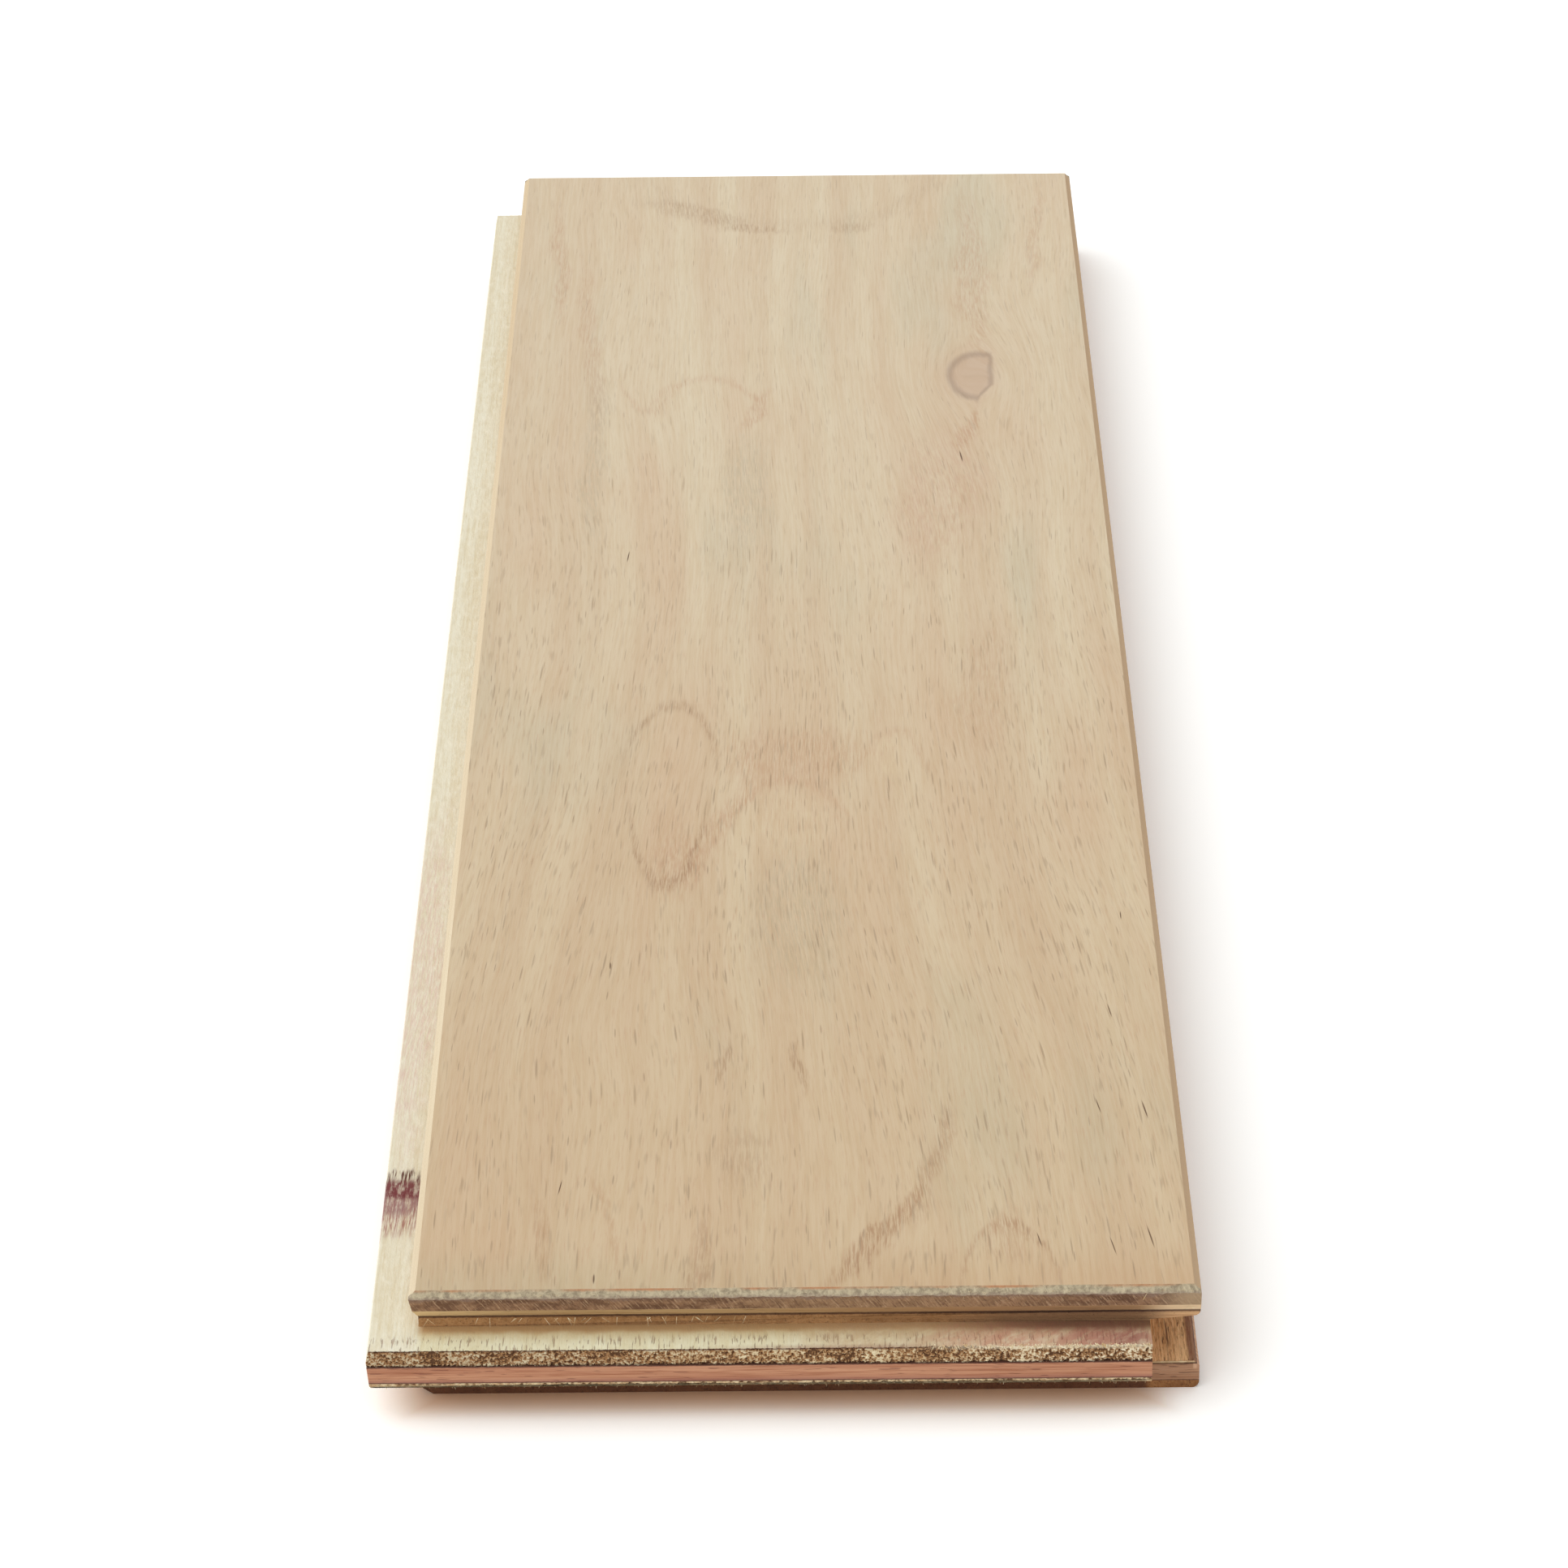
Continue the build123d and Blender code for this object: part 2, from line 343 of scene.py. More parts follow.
cracks = [
    ((40.7, -138.5), (0.13, 2.8), -7.0),
    ((35.2, -137.5), (0.1, 2.4), -8.0),
    ((39.8, -168.5), (0.12, 3.2), -7.0),
    ((37.7, -113.5), (0.1, 2.2), -7.0),
    ((27.0, -169.0), (0.1, 2.0), -8.0),
    ((24.0, 60.5), (0.16, 2.6), -5.0),
    ((-24.5, 25.0), (0.12, 2.4), 4.0),
    ((-24.0, -100.5), (0.12, 1.2), 0.0),
    ((-28.5, -156.0), (0.1, 2.2), 6.0),
    ((-24.0, -177.0), (0.14, 1.4), 0.0),
    ((35.4, -170.5), (0.1, 2.6), -8.0),
    ((40.3, -88.0), (0.1, 1.4), 0.0),
]
crack_marks = [("Patch", *crack, paint(86, 58, 38), 0.85) for crack in cracks]
colour = mark_grain(tree, position, 1.0, colour, crack_marks)
tree.links.new(ramp(tree, grain["Fibre"], 0.3, 0.7, 0.52, 0.7), shader.inputs["Roughness"])
height = less(tree, times(tree, grain["Fibre"], 0.4), times(tree, grain["Pores"], 0.5))
dress(tree, shader, colour, height, 0.05)

# Bevel of the oak: raw cut fibres, grey on the ends and the face's own colour along the sides, with
# painted shade darkening the right side's bevel
oak_bevel, tree, shader = new_finish("oak_bevel", 0.78)
position = millimetres(tree)
grain = put(tree, "Group", {"Position": position}, node_tree=oak_grain).outputs
place = axes(tree, position)
side = tint(tree, ramp(tree, grain["Bands"], 0.3, 0.7), paint(220, 204, 174), paint(206, 184, 150))
# painted shade: the right side's bevel, which faces away from the lamp, is painted a darker brown
side = tint(tree, ramp(tree, place[0], 0.0, 40.0, 0.0, 0.85), side, paint(190, 158, 122))
mottle = cloud(tree, position, (1.5, 1.5, 1.5), 4.0, 0.7)
end = tint(tree, ramp(tree, mottle, 0.33, 0.62), paint(150, 136, 112), paint(192, 178, 148))
leaning = put(tree, "Mapping", {"Vector": position, "Rotation": (0.0, 0.5, 0.0)}).outputs[0]
threads = cloud(tree, leaning, (4.2, 0.7, 0.7), 3.0, 0.65)
end = tint(tree, ramp(tree, threads, 0.55, 0.72, 0.0, 0.6), end, paint(212, 198, 166))
burnt = ramp(tree, cloud(tree, position, (0.1, 0.0, 0.0), 2.0, 0.6, (3.4, 0.0, 0.0)), 0.4, 0.58)
top_edge = ramp(tree, plus(tree, place[2], swing(tree, mottle, 0.3)), face_top - 0.3, face_top - 0.05)
end = tint(tree, times(tree, top_edge, burnt, 0.75), end, paint(186, 112, 62))
low_edge = plus(tree, place[2], swing(tree, mottle, 0.5))
low_edge = ramp(tree, low_edge, face_top - 0.5, face_top - 0.8, 0.0, 0.55)
end = tint(tree, low_edge, end, paint(146, 124, 110))
ends = ramp(tree, sums(tree, "ABSOLUTE", place[1]), face_high.y - 1.0, face_high.y - 0.7)
dress(tree, shader, tint(tree, ends, side, end), plus(tree, mottle, threads), 0.08)

# Cut end of the oak: brown end grain crossed by pale rays, and smoky where the bevel's cutter met it
oak_end, tree, shader = new_finish("oak_end_grain", 0.8)
position = millimetres(tree)
slant = put(tree, "Mapping", {"Vector": position, "Rotation": (0.0, 0.6, 0.0)}).outputs[0]
rays = cloud(tree, slant, (5.0, 0.5, 0.6), 3.0, 0.65)
clumps = cloud(tree, position, (0.45, 0.45, 0.9), 3.0, 0.6)
colour = tint(tree, ramp(tree, clumps, 0.38, 0.62), paint(116, 85, 63), paint(156, 120, 91))
place = axes(tree, position)
along_end = plus(tree, place[0], swing(tree, clumps, 20.0))
pale = times(tree, ramp(tree, along_end, -16.0, 4.0, 0.0, 0.5), ramp(tree, along_end, 34.0, 20.0))
colour = tint(tree, pale, colour, paint(176, 142, 108))
colour = tint(tree, ramp(tree, rays, 0.52, 0.68, 0.0, 0.75), colour, paint(194, 160, 128))
colour = tint(tree, ramp(tree, rays, 0.48, 0.34, 0.0, 0.55), colour, paint(98, 68, 54))
smoke = plus(tree, place[2], swing(tree, clumps, 1.6))
smoke = ramp(tree, smoke, face_top - 1.25, face_top - 0.8, 0.0, 0.6)
colour = tint(tree, smoke, colour, paint(134, 112, 100))
right_end = ramp(tree, place[0], face_high.x - 6.5, face_high.x - 0.5, 0.0, 0.7)
colour = tint(tree, right_end, colour, paint(188, 162, 128))
dress(tree, shader, colour, plus(tree, rays, clumps), 0.12)

# Sawn side of the oak: the face's own grain, darker where the saw ran along it
oak_edge, tree, shader = new_finish("oak_edge", 0.75)
grain = put(tree, "Group", {"Position": millimetres(tree)}, node_tree=oak_grain).outputs
colour = tint(tree, ramp(tree, grain["Bands"], 0.3, 0.7), paint(204, 178, 142), paint(176, 144, 108))
colour = tint(tree, ramp(tree, grain["Fibre"], 0.36, 0.66), colour, paint(226, 216, 204), "MULTIPLY")
dress(tree, shader, colour, grain["Fibre"], 0.06)


def copy_of(node):
    """The milled layer as whole faces, to be worked further."""
    shape = bmesh.new()
    shape.from_mesh(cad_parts[node].data)
    bmesh.ops.remove_doubles(shape, verts=shape.verts, dist=0.001 * MM)
    bmesh.ops.dissolve_limit(shape, angle_limit=math.radians(0.5), verts=shape.verts, edges=shape.edges)
    return shape


def sort_faces(shape, choose):
    """Give each face the number of its finish."""
    for face in shape.faces:
        face.material_index = choose(face.normal, face.calc_center_median() / MM)


def cut_grid(shape, finishes, pitch_across, pitch_up):
    """Cut the end faces of some finishes into a fine grid and give back its vertices."""
    level = 0.7

    def place_of(edge):
        return tuple(round(value / MM, 3) for end in edge.verts for value in end.co)

    for across, pitch in ((True, pitch_across), (False, pitch_up)):
        worked = [face for face in shape.faces if face.material_index in finishes]
        edges = []
        for edge in {edge for face in worked for edge in face.edges}:
            run = edge.verts[1].co - edge.verts[0].co
            if (abs(run.x) > level * run.length) == across:
                edges.append(edge)
        edges.sort(key=place_of)
        longest = max(edge.calc_length() for edge in edges)
        bmesh.ops.subdivide_edges(shape, edges=edges, cuts=max(1, round(longest / pitch)))
    return {vertex for face in shape.faces if face.material_index in finishes for vertex in face.verts}


def lay_piece(shape, name, finishes, node=None):
    """Make a worked shape a piece that rides on the block and, if a layer is named, stands for it."""
    if node:
        bmesh.ops.triangulate(shape, faces=shape.faces, quad_method="BEAUTY", ngon_method="BEAUTY")
    mesh = bpy.data.meshes.new(name)
    shape.to_mesh(mesh)
    shape.free()
    for finish in finishes:
        mesh.materials.append(finish)
    piece = bpy.data.objects.new(name, mesh)
    bpy.context.scene.collection.objects.link(piece)
    if node:
        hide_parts(node)
    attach(piece, "root")


def rough(x, y, z, seed, octaves=4):
    """Uneven height at a place, up or down, with its own pattern for each seed."""
    seeds_apart = 17.3
    return noise.fractal(Vector((x, y, z + seeds_apart * seed)), 0.8, 2.0, octaves)


oak_finishes = (oak_face, oak_bevel, oak_end, oak_edge, oak_bevel)
flat_face, end_bevel, cut_end, sawn_side, side_bevel = range(len(oak_finishes))


def oak_finish(normal, middle):
    """The finish of an oak face, by the way that it points."""
    if abs(normal.z) > 0.9:
        return flat_face
    bevelled = normal.z > 0.4
    if abs(normal.y) > 0.5:
        return end_bevel if bevelled else cut_end
    return side_bevel if bevelled else sawn_side


oak = copy_of("oak_wear_layer")
sort_faces(oak, oak_finish)
glued_edge = face_low.z + 0.1
crisp_edge = face_top - 0.05
edge_fade = 0.4
torn_in = 0.09 * MM
torn_up = 0.13 * MM
for vertex in cut_grid(oak, (end_bevel, cut_end), 0.22 * MM, 0.2 * MM):
    x, y, z = vertex.co / MM
    if glued_edge < z < crisp_edge:
        inward = -1.0 if y > 0.0 else 1.0
        vertex.co.y += inward * torn_in * abs(rough(x * 1.5, y, z * 1.5, 1))
        vertex.co.z += torn_up * rough(x * 1.2, 0.0, z, 2) * min(1.0, (crisp_edge - z) / edge_fade)
lay_piece(oak, "oak_board", oak_finishes, "oak_wear_layer")

# Face veneer: a thin sheet of pale wood under the oak, laid with its grain across the block, so that
# its front edge is clean and streaked. A dark glue line shows where it meets the ply below.
ply_streaks, taken, given = new_group(
    "ply_streaks",
    [("Position", "Vector")],
    [("Broad", "Float"), ("Fine", "Float"), ("Slits", "Float")],
)
spot = taken.outputs["Position"]
ply_streaks.links.new(cloud(ply_streaks, spot, (0.8, 0.02, 0.8), 3.0, 0.6), given.inputs["Broad"])
ply_streaks.links.new(cloud(ply_streaks, spot, (4.5, 0.12, 4.5), 3.0, 0.6), given.inputs["Fine"])
slits = ramp(ply_streaks, cloud(ply_streaks, spot, (4.6, 0.4, 4.6), 1.0, 0.5, (3.0, 9.0, 5.0)), 0.66, 0.75)
ply_streaks.links.new(slits, given.inputs["Slits"])

glue_line, taken, given = new_group(
    "glue_line",
    [("Position", "Vector"), ("Height", "Float"), ("Half Width", "Float")],
    [("Line", "Float")],
)
spot = taken.outputs["Position"]
waver = swing(glue_line, cloud(glue_line, spot, (1.1, 1.1, 0.0), 4.0, 0.7), 0.2)
level = plus(glue_line, axes(glue_line, spot)[2], waver)
off = sums(glue_line, "ABSOLUTE", less(glue_line, level, taken.outputs["Height"]))
off = sums(glue_line, "DIVIDE", off, taken.outputs["Half Width"])
glue_line.links.new(ramp(glue_line, off, 1.0, 0.4), given.inputs["Line"])


def ply_pattern(tree, light, dark, crosswise, slit_colour, slit_strength=0.6, fine_shade=(228, 218, 206)):
    """Colour and height of a streaked veneer whose grain runs along or across the block."""
    position = millimetres(tree)
    turn = math.radians(90.0 if crosswise else 0.0)
    laid = put(tree, "Mapping", {"Vector": position, "Rotation": (0.0, 0.0, turn)}).outputs[0]
    streaks = put(tree, "Group", {"Position": laid}, node_tree=ply_streaks).outputs
    colour = tint(tree, ramp(tree, streaks["Broad"], 0.3, 0.7), light, dark)
    colour = tint(tree, ramp(tree, streaks["Fine"], 0.42, 0.7), colour, paint(*fine_shade), "MULTIPLY")
    colour = tint(tree, times(tree, streaks["Slits"], slit_strength), colour, slit_colour)
    height = less(tree, streaks["Fine"], streaks["Slits"])
    return position, colour, height


def run_glue(tree, position, colour, joint, half_width, strength):
    """Darken a colour along a joint, where the glue shows."""
    sockets = {"Position": position, "Height": joint, "Half Width": half_width}
    line = put(tree, "Group", sockets, node_tree=glue_line).outputs[0]
    return tint(tree, times(tree, line, strength), colour, paint(54, 30, 32))


def underside(node):
    """Height of a layer's lower joint, in millimetres."""
    return corners(node)[0].z


def finish_node(node, finish):
    """Give its finish to a layer that keeps its own mesh."""
    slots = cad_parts[node].data.materials
    slots.clear()
    slots.append(finish)


cream_veneer, tree, shader = new_finish("cream_veneer", 0.75)
cream, shaded_cream = paint(210, 180, 134), paint(190, 156, 114)
position, colour, height = ply_pattern(tree, cream, shaded_cream, True, paint(160, 120, 82), 0.4)
place = axes(tree, position)
for start, end, strength, tone in (
    (-26.0, -44.0, 0.8, paint(236, 208, 158)),
    (-20.0, 24.0, 0.75, paint(180, 141, 104)),
    (37.5, 42.0, 0.9, paint(242, 212, 170)),
):
    colour = tint(tree, ramp(tree, place[0], start, end, 0.0, strength), colour, tone)
colour = run_glue(tree, position, colour, underside("face_veneer"), 0.2, 0.7)
dress(tree, shader, colour, height, 0.08)
finish_node("face_veneer", cream_veneer)

# Upper ply: tan wood with its grain along the block, set back under the oak above the tongues. Its front
# wall has painted shade under the oak, painted light low at the left and a painted highlight on its right
# end.
# Its end is torn into small pits by the cutter, painted darker with their depth as shade, and glue has run
# along its top.
def pit_depth(tree):
    """How deep the torn ends are pitted at each point, from 0 to 1."""
    return put(tree, "Attribute", attribute_name="pit").outputs["Fac"]


tan_ply, tree, shader = new_finish("tan_ply", 0.8)
tan, shaded_tan, slit_brown = paint(188, 144, 98), paint(166, 124, 82), paint(112, 78, 50)
position, colour, height = ply_pattern(tree, tan, shaded_tan, False, slit_brown)
place = axes(tree, position)
# painted shade: the front wall under the oak's overhang is painted a darker olive-brown, more so towards
# the right
shade_under_oak = plus(tree, place[0], swing(tree, cloud(tree, position, (0.12, 0.0, 0.3), 3.0), 16.0))
at_front = ramp(tree, place[1], front + 10.0, front + 5.0)
shade_under_oak = times(tree, ramp(tree, shade_under_oak, 14.0, 28.0, 0.0, 0.85), at_front)
colour = tint(tree, shade_under_oak, colour, paint(134, 102, 74))
wall_foot = underside("upper_ply")
# painted light: on the left, the lamp's side, the wall is painted lighter towards its foot
foot = ramp(tree, place[2], wall_foot + 1.1, wall_foot + 0.1, 0.0, 0.2)
foot = times(tree, foot, ramp(tree, place[0], 16.0, 0.0))
colour = tint(tree, foot, colour, paint(208, 164, 114))
# painted highlight: the rounded right end of the wall is painted lighter
colour = tint(tree, ramp(tree, place[0], 38.0, 43.0, 0.0, 0.85), colour, paint(226, 180, 132))
# painted shade: the pits are painted darker the deeper they go
pits = pit_depth(tree)
colour = tint(tree, times(tree, pits, 0.8), colour, slit_brown)
colour = run_glue(tree, position, colour, underside("face_veneer"), 0.3, 0.75)
dress(tree, shader, colour, height, 0.08)


ply_body, torn_end, plain_end = range(3)


def ply_ends(normal, middle):
    """Both cut ends of a ply are torn."""
    return torn_end if abs(normal.y) > 0.6 else ply_body


def tear_ends(shape, node, pitch, depth, lumps, seed, bare, edge=0.0):
    """Pit the cut ends of a ply, deepest where its fibres were torn out, and note each pit's depth."""
    pit = shape.verts.layers.float.new("pit")
    low, high = corners(node)
    at_edge = 0.05
    worn_from = 14.0
    kept_edge = 0.35
    small = lumps * 2.4
    grid = cut_grid(shape, (torn_end,), pitch * MM, pitch * MM)
    for vertex in sorted(grid, key=lambda vertex: tuple(vertex.co)):
        x, y, z = vertex.co / MM
        torn = 0.5 * rough(x * lumps, 0.0, z * lumps, seed, 2)
        torn += 0.5 * rough(x * small, 5.0, z * small, seed, 2)
        patchy = 0.3 * rough(x * 0.3, 2.0, z * 0.5, seed, 2)
        torn = min(1.0, max(0.0, 0.5 + 0.9 * torn + patchy - bare))
        vertex[pit] = torn * torn * (3.0 - 2.0 * torn)
        sharp = z > high.z - at_edge and x < worn_from
        sunk = depth * vertex[pit] * (kept_edge if sharp else 1.0)
        vertex.co.y += (-1.0 if y > 0.0 else 1.0) * sunk * MM
        if edge and z < low.z + at_edge:
            vertex.co.z += edge * MM * rough(x * 1.6, 9.0, 0.0, seed)
    torn_faces = [face for face in shape.faces if face.material_index == torn_end]
    bmesh.ops.poke(shape, faces=[face for face in torn_faces if len(face.verts) > 4])


upper = copy_of("upper_ply")
sort_faces(upper, ply_ends)
tear_ends(upper, "upper_ply", pitch=0.22, depth=0.12, lumps=1.2, seed=3, bare=0.4)
lay_piece(upper, "upper_ply_board", (tan_ply, tan_ply), "upper_ply")

# Tongue ply: the palest veneer, grain along the block. Its top is the top of both tongues, slit along the
# grain, stained purple in places by the glue and painted with shade along the foot of the wall, and its
# front end is a sponge of torn fibres.
tongue_low, tongue_high = corners("tongue_ply")
tip = tongue_low.y
tongue_top = tongue_high.z
pale_ply, tree, shader = new_finish("pale_ply", 0.7)
position, colour, height = ply_pattern(
    tree, paint(232, 228, 207), paint(226, 218, 192), False, paint(200, 178, 140), 0.2, (246, 242, 234)
)
place = axes(tree, position)
at_front = ramp(tree, place[1], front + 2.0, front + 1.1)
at_front = times(tree, at_front, ramp(tree, place[0], face_low.x + 0.4, face_low.x + 1.8))
fluff = cloud(tree, position, (1.1, 0.4, 0.0), 3.0, 0.6, (7.0, 2.0, 0.0))
colour = tint(tree, ramp(tree, fluff, 0.5, 0.7, 0.0, 0.5), colour, paint(238, 234, 215))
colour = tint(tree, ramp(tree, fluff, 0.48, 0.32, 0.0, 0.3), colour, paint(212, 200, 166))
on_top = times(tree, ramp(tree, place[2], tongue_top - 0.2, tongue_top - 0.05), at_front)
colour = tint(tree, on_top, colour, paint(250, 249, 236), "MULTIPLY")
from_wall = plus(tree, place[1], swing(tree, cloud(tree, position, (0.35, 0.35, 0.0), 3.0), 1.4))
# painted shade: the tongue top is painted darker brown at the foot of the wall, under the oak's overhang
for outer, inner, strength, tone in (
    (front - 3.2, front, 0.7, paint(204, 180, 130)),
    (front - 1.2, front + 0.2, 0.85, paint(180, 141, 96)),
):
    shade_near_wall = times(tree, ramp(tree, from_wall, outer, inner, 0.0, strength), on_top)
    colour = tint(tree, shade_near_wall, colour, tone)
nicks = ramp(tree, cloud(tree, position, (3.6, 0.3, 0.0), 2.0, 0.6, (6.0, 1.0, 0.0)), 0.57, 0.65)
nicks = times(tree, nicks, ramp(tree, place[1], front - 0.6, front - 2.4, 0.0, 0.6))
colour = tint(tree, nicks, colour, paint(148, 108, 84))
grain = put(tree, "Group", {"Position": position}, node_tree=oak_grain).outputs
purple, wine, blush = paint(146, 100, 100), paint(112, 42, 46), paint(216, 186, 172)
side_stains = [
    ("Patch", (-48.0, -95.0), (4.0, 60.0), 0.0, blush, 0.45),
    ("Patch", (-48.0, -153.6), (9.0, 6.4), 0.0, paint(152, 84, 76), 0.6),
    ("Patch", (-47.8, -144.9), (6.0, 2.4), 0.0, paint(96, 56, 42), 0.8),
]
colour = mark_grain(tree, grain["Ragged"], grain["Stroke"], colour, side_stains)
soaked = cloud(tree, position, (1.6, 0.35, 0.0), 4.0, 0.7, (4.0, 1.0, 0.0))
soaked = ramp(tree, soaked, 0.34, 0.56, 0.3, 1.0)
side_soaks = [
    ("Patch", (-48.0, -150.4), (10.0, 4.6), 0.0, purple, 0.8),
    ("Patch", (-48.0, -147.7), (10.0, 3.2), 0.0, wine, 0.95),
]
colour = mark_grain(tree, grain["Crisp"], soaked, colour, side_soaks)
slanting = put(tree, "Mapping", {"Vector": position, "Rotation": (0.0, 0.0, 0.7)}).outputs[0]
blotch = cloud(tree, slanting, (0.75, 0.3, 0.0), 4.0, 0.65, (1.0, 4.0, 0.0))
blotch = ramp(tree, blotch, 0.34, 0.6, 0.5, 1.0)
front_stains = [
    ("Patch", (11.0, -182.5), (15.0, 6.5), 0.0, paint(188, 156, 120), 0.55),
    ("Patch", (29.0, -183.0), (19.0, 7.0), 0.0, paint(190, 132, 108), 0.75),
    ("Patch", (34.5, -182.6), (8.5, 5.0), 0.0, paint(154, 94, 82), 0.55),
    ("Patch", (37.6, -182.5), (3.0, 4.0), 0.0, wine, 0.3),
]
colour = mark_grain(tree, grain["Ragged"], blotch, colour, front_stains)
# painted shade: dark brown painted on the tongue top at the wall's foot, growing towards the right
shade_at_wall_right = ramp(tree, from_wall, front - 2.0, front + 0.2)
shade_at_wall_right = times(tree, shade_at_wall_right, ramp(tree, place[0], 12.0, 30.0, 0.0, 0.8), on_top)
colour = tint(tree, shade_at_wall_right, colour, paint(104, 72, 54))
rubbed = ramp(tree, place[0], -16.0, 0.0, 0.0, 0.45)
rubbed = plus(tree, rubbed, ramp(tree, place[0], 8.0, 18.0, 0.0, -0.45))
rubbed = times(tree, rubbed, ramp(tree, place[1], tip + 1.45, tip + 0.35), on_top)
colour = tint(tree, rubbed, colour, paint(150, 104, 92))
dress(tree, shader, colour, less(tree, fluff, nicks), 0.12)

# Torn end of the tongue ply: pale ridges of fibre round pits painted brown and darker with their depth as
# shade, with glue along its lower joint
pale_sponge, tree, shader = new_finish("pale_torn_end", 0.85)
position = millimetres(tree)
place = axes(tree, position)
pits = pit_depth(tree)
clumps = cloud(tree, position, (0.5, 0.5, 0.7), 3.0, 0.6)
ridge = tint(tree, ramp(tree, clumps, 0.35, 0.65), paint(236, 221, 184), paint(208, 180, 138))
ridge = tint(tree, ramp(tree, place[0], 0.0, -45.0, 0.0, 0.5), ridge, paint(188, 174, 146))
ridge = tint(tree, ramp(tree, place[0], 12.0, 36.0, 0.0, 0.7), ridge, paint(246, 234, 204))
# painted shade: the pits are painted darker the deeper they go
colour = tint(tree, ramp(tree, pits, 0.18, 0.55), ridge, paint(180, 136, 92))
colour = tint(tree, ramp(tree, pits, 0.5, 0.95), colour, paint(102, 70, 46))
rim = ramp(tree, place[2], tongue_top - 0.6, tongue_top - 0.15)
rim = times(tree, rim, ramp(tree, place[0], 10.0, 24.0, 0.0, 0.75))
colour = tint(tree, rim, colour, paint(242, 230, 202))
colour = run_glue(tree, position, colour, underside("tongue_ply"), 0.24, 0.65)
top_line = plus(tree, place[2], swing(tree, clumps, 0.3))
top_line = ramp(tree, top_line, tongue_top - 0.28, tongue_top - 0.12)
top_line = times(tree, top_line, ramp(tree, place[0], 22.0, 8.0, 0.0, 0.75))
colour = tint(tree, top_line, colour, paint(96, 62, 56))
dress(tree, shader, colour, cloud(tree, position, (5.0, 5.0, 5.0), 3.0, 0.6), 0.1)

tongue = copy_of("tongue_ply")
sort_faces(tongue, ply_ends)
tear_ends(tongue, "tongue_ply", pitch=0.12, depth=0.34, lumps=2.5, seed=4, bare=-0.02, edge=0.14)
lay_piece(tongue, "tongue_ply_board", (pale_ply, pale_sponge), "tongue_ply")

# Middle ply: salmon-coloured wood laid across the block, so that its front edge is planed clean and
# streaked along its length, with glue darkening its lower joint.
salmon_ply, tree, shader = new_finish("salmon_ply", 0.7)
position, colour, height = ply_pattern(
    tree, paint(212, 157, 122), paint(188, 129, 98), True, paint(136, 80, 64), 0.55, (220, 204, 196)
)
place = axes(tree, position)
joint = underside("middle_ply")
colour = tint(tree, ramp(tree, place[2], joint + 0.8, joint + 0.05, 0.0, 0.5), colour, paint(140, 86, 84))
colour = run_glue(tree, position, colour, joint, 0.2, 0.7)
colour = run_glue(tree, position, colour, underside("tongue_ply"), 0.16, 0.8)
dress(tree, shader, colour, height, 0.06)
finish_node("middle_ply", salmon_ply)

# Groove ply: straw-coloured veneer with its grain along the block. It ends as a furry strip under the
# tongue, and a skin of it is left as the floor of the grooves, brown and slit where the cutter ran.
beige_ply, tree, shader = new_finish("beige_ply", 0.8)
straw, shaded_straw = paint(248, 206, 154), paint(226, 178, 124)
position, colour, height = ply_pattern(tree, straw, shaded_straw, False, paint(112, 74, 44), 0.7)
place = axes(tree, position)
groove_floor = underside("groove_ply") + 0.25
lip_skin = ramp(tree, place[2], groove_floor + 0.2, groove_floor + 0.02)
fur = ramp(tree, cloud(tree, position, (4.2, 0.45, 0.0), 4.0, 0.7), 0.44, 0.66, 0.0, 0.65)
colour = tint(tree, times(tree, lip_skin, fur), colour, paint(150, 104, 66))
splits = ramp(tree, cloud(tree, position, (1.7, 0.11, 0.0), 2.0, 0.6, (0.0, 2.5, 0.0)), 0.6, 0.68)
colour = tint(tree, times(tree, lip_skin, splits, 0.8), colour, paint(96, 62, 40))
lip_line = ramp(tree, place[0], face_high.x - 1.4, face_high.x - 1.05, 0.0, 0.75)
colour = tint(tree, times(tree, lip_skin, lip_line), colour, paint(112, 62, 50))
dress(tree, shader, colour, height, 0.16)

# Torn end of the groove ply: straw fibres over pits painted brown with their depth, as painted shade
straw_fur, tree, shader = new_finish("straw_torn_end", 0.85)
position = millimetres(tree)
pits = pit_depth(tree)
clumps = cloud(tree, position, (0.9, 0.9, 0.9), 3.0, 0.6)
colour = tint(tree, ramp(tree, clumps, 0.35, 0.65), paint(230, 208, 168), paint(202, 168, 126))
# painted shade: the pits are painted darker the deeper they go
colour = tint(tree, ramp(tree, pits, 0.3, 0.9), colour, paint(136, 100, 70))
dress(tree, shader, colour, clumps, 0.1)


def groove_ends(normal, middle):
    """The front end is torn, and the plain back end only shares its finish."""
    if abs(normal.y) < 0.6:
        return ply_body
    return torn_end if middle.y < 0.0 else plain_end


groove = copy_of("groove_ply")
sort_faces(groove, groove_ends)
tear_ends(groove, "groove_ply", pitch=0.16, depth=0.25, lumps=1.6, seed=5, bare=0.1)
groove_finishes = (beige_ply, straw_fur, straw_fur)
lay_piece(groove, "groove_ply_board", groove_finishes, "groove_ply")

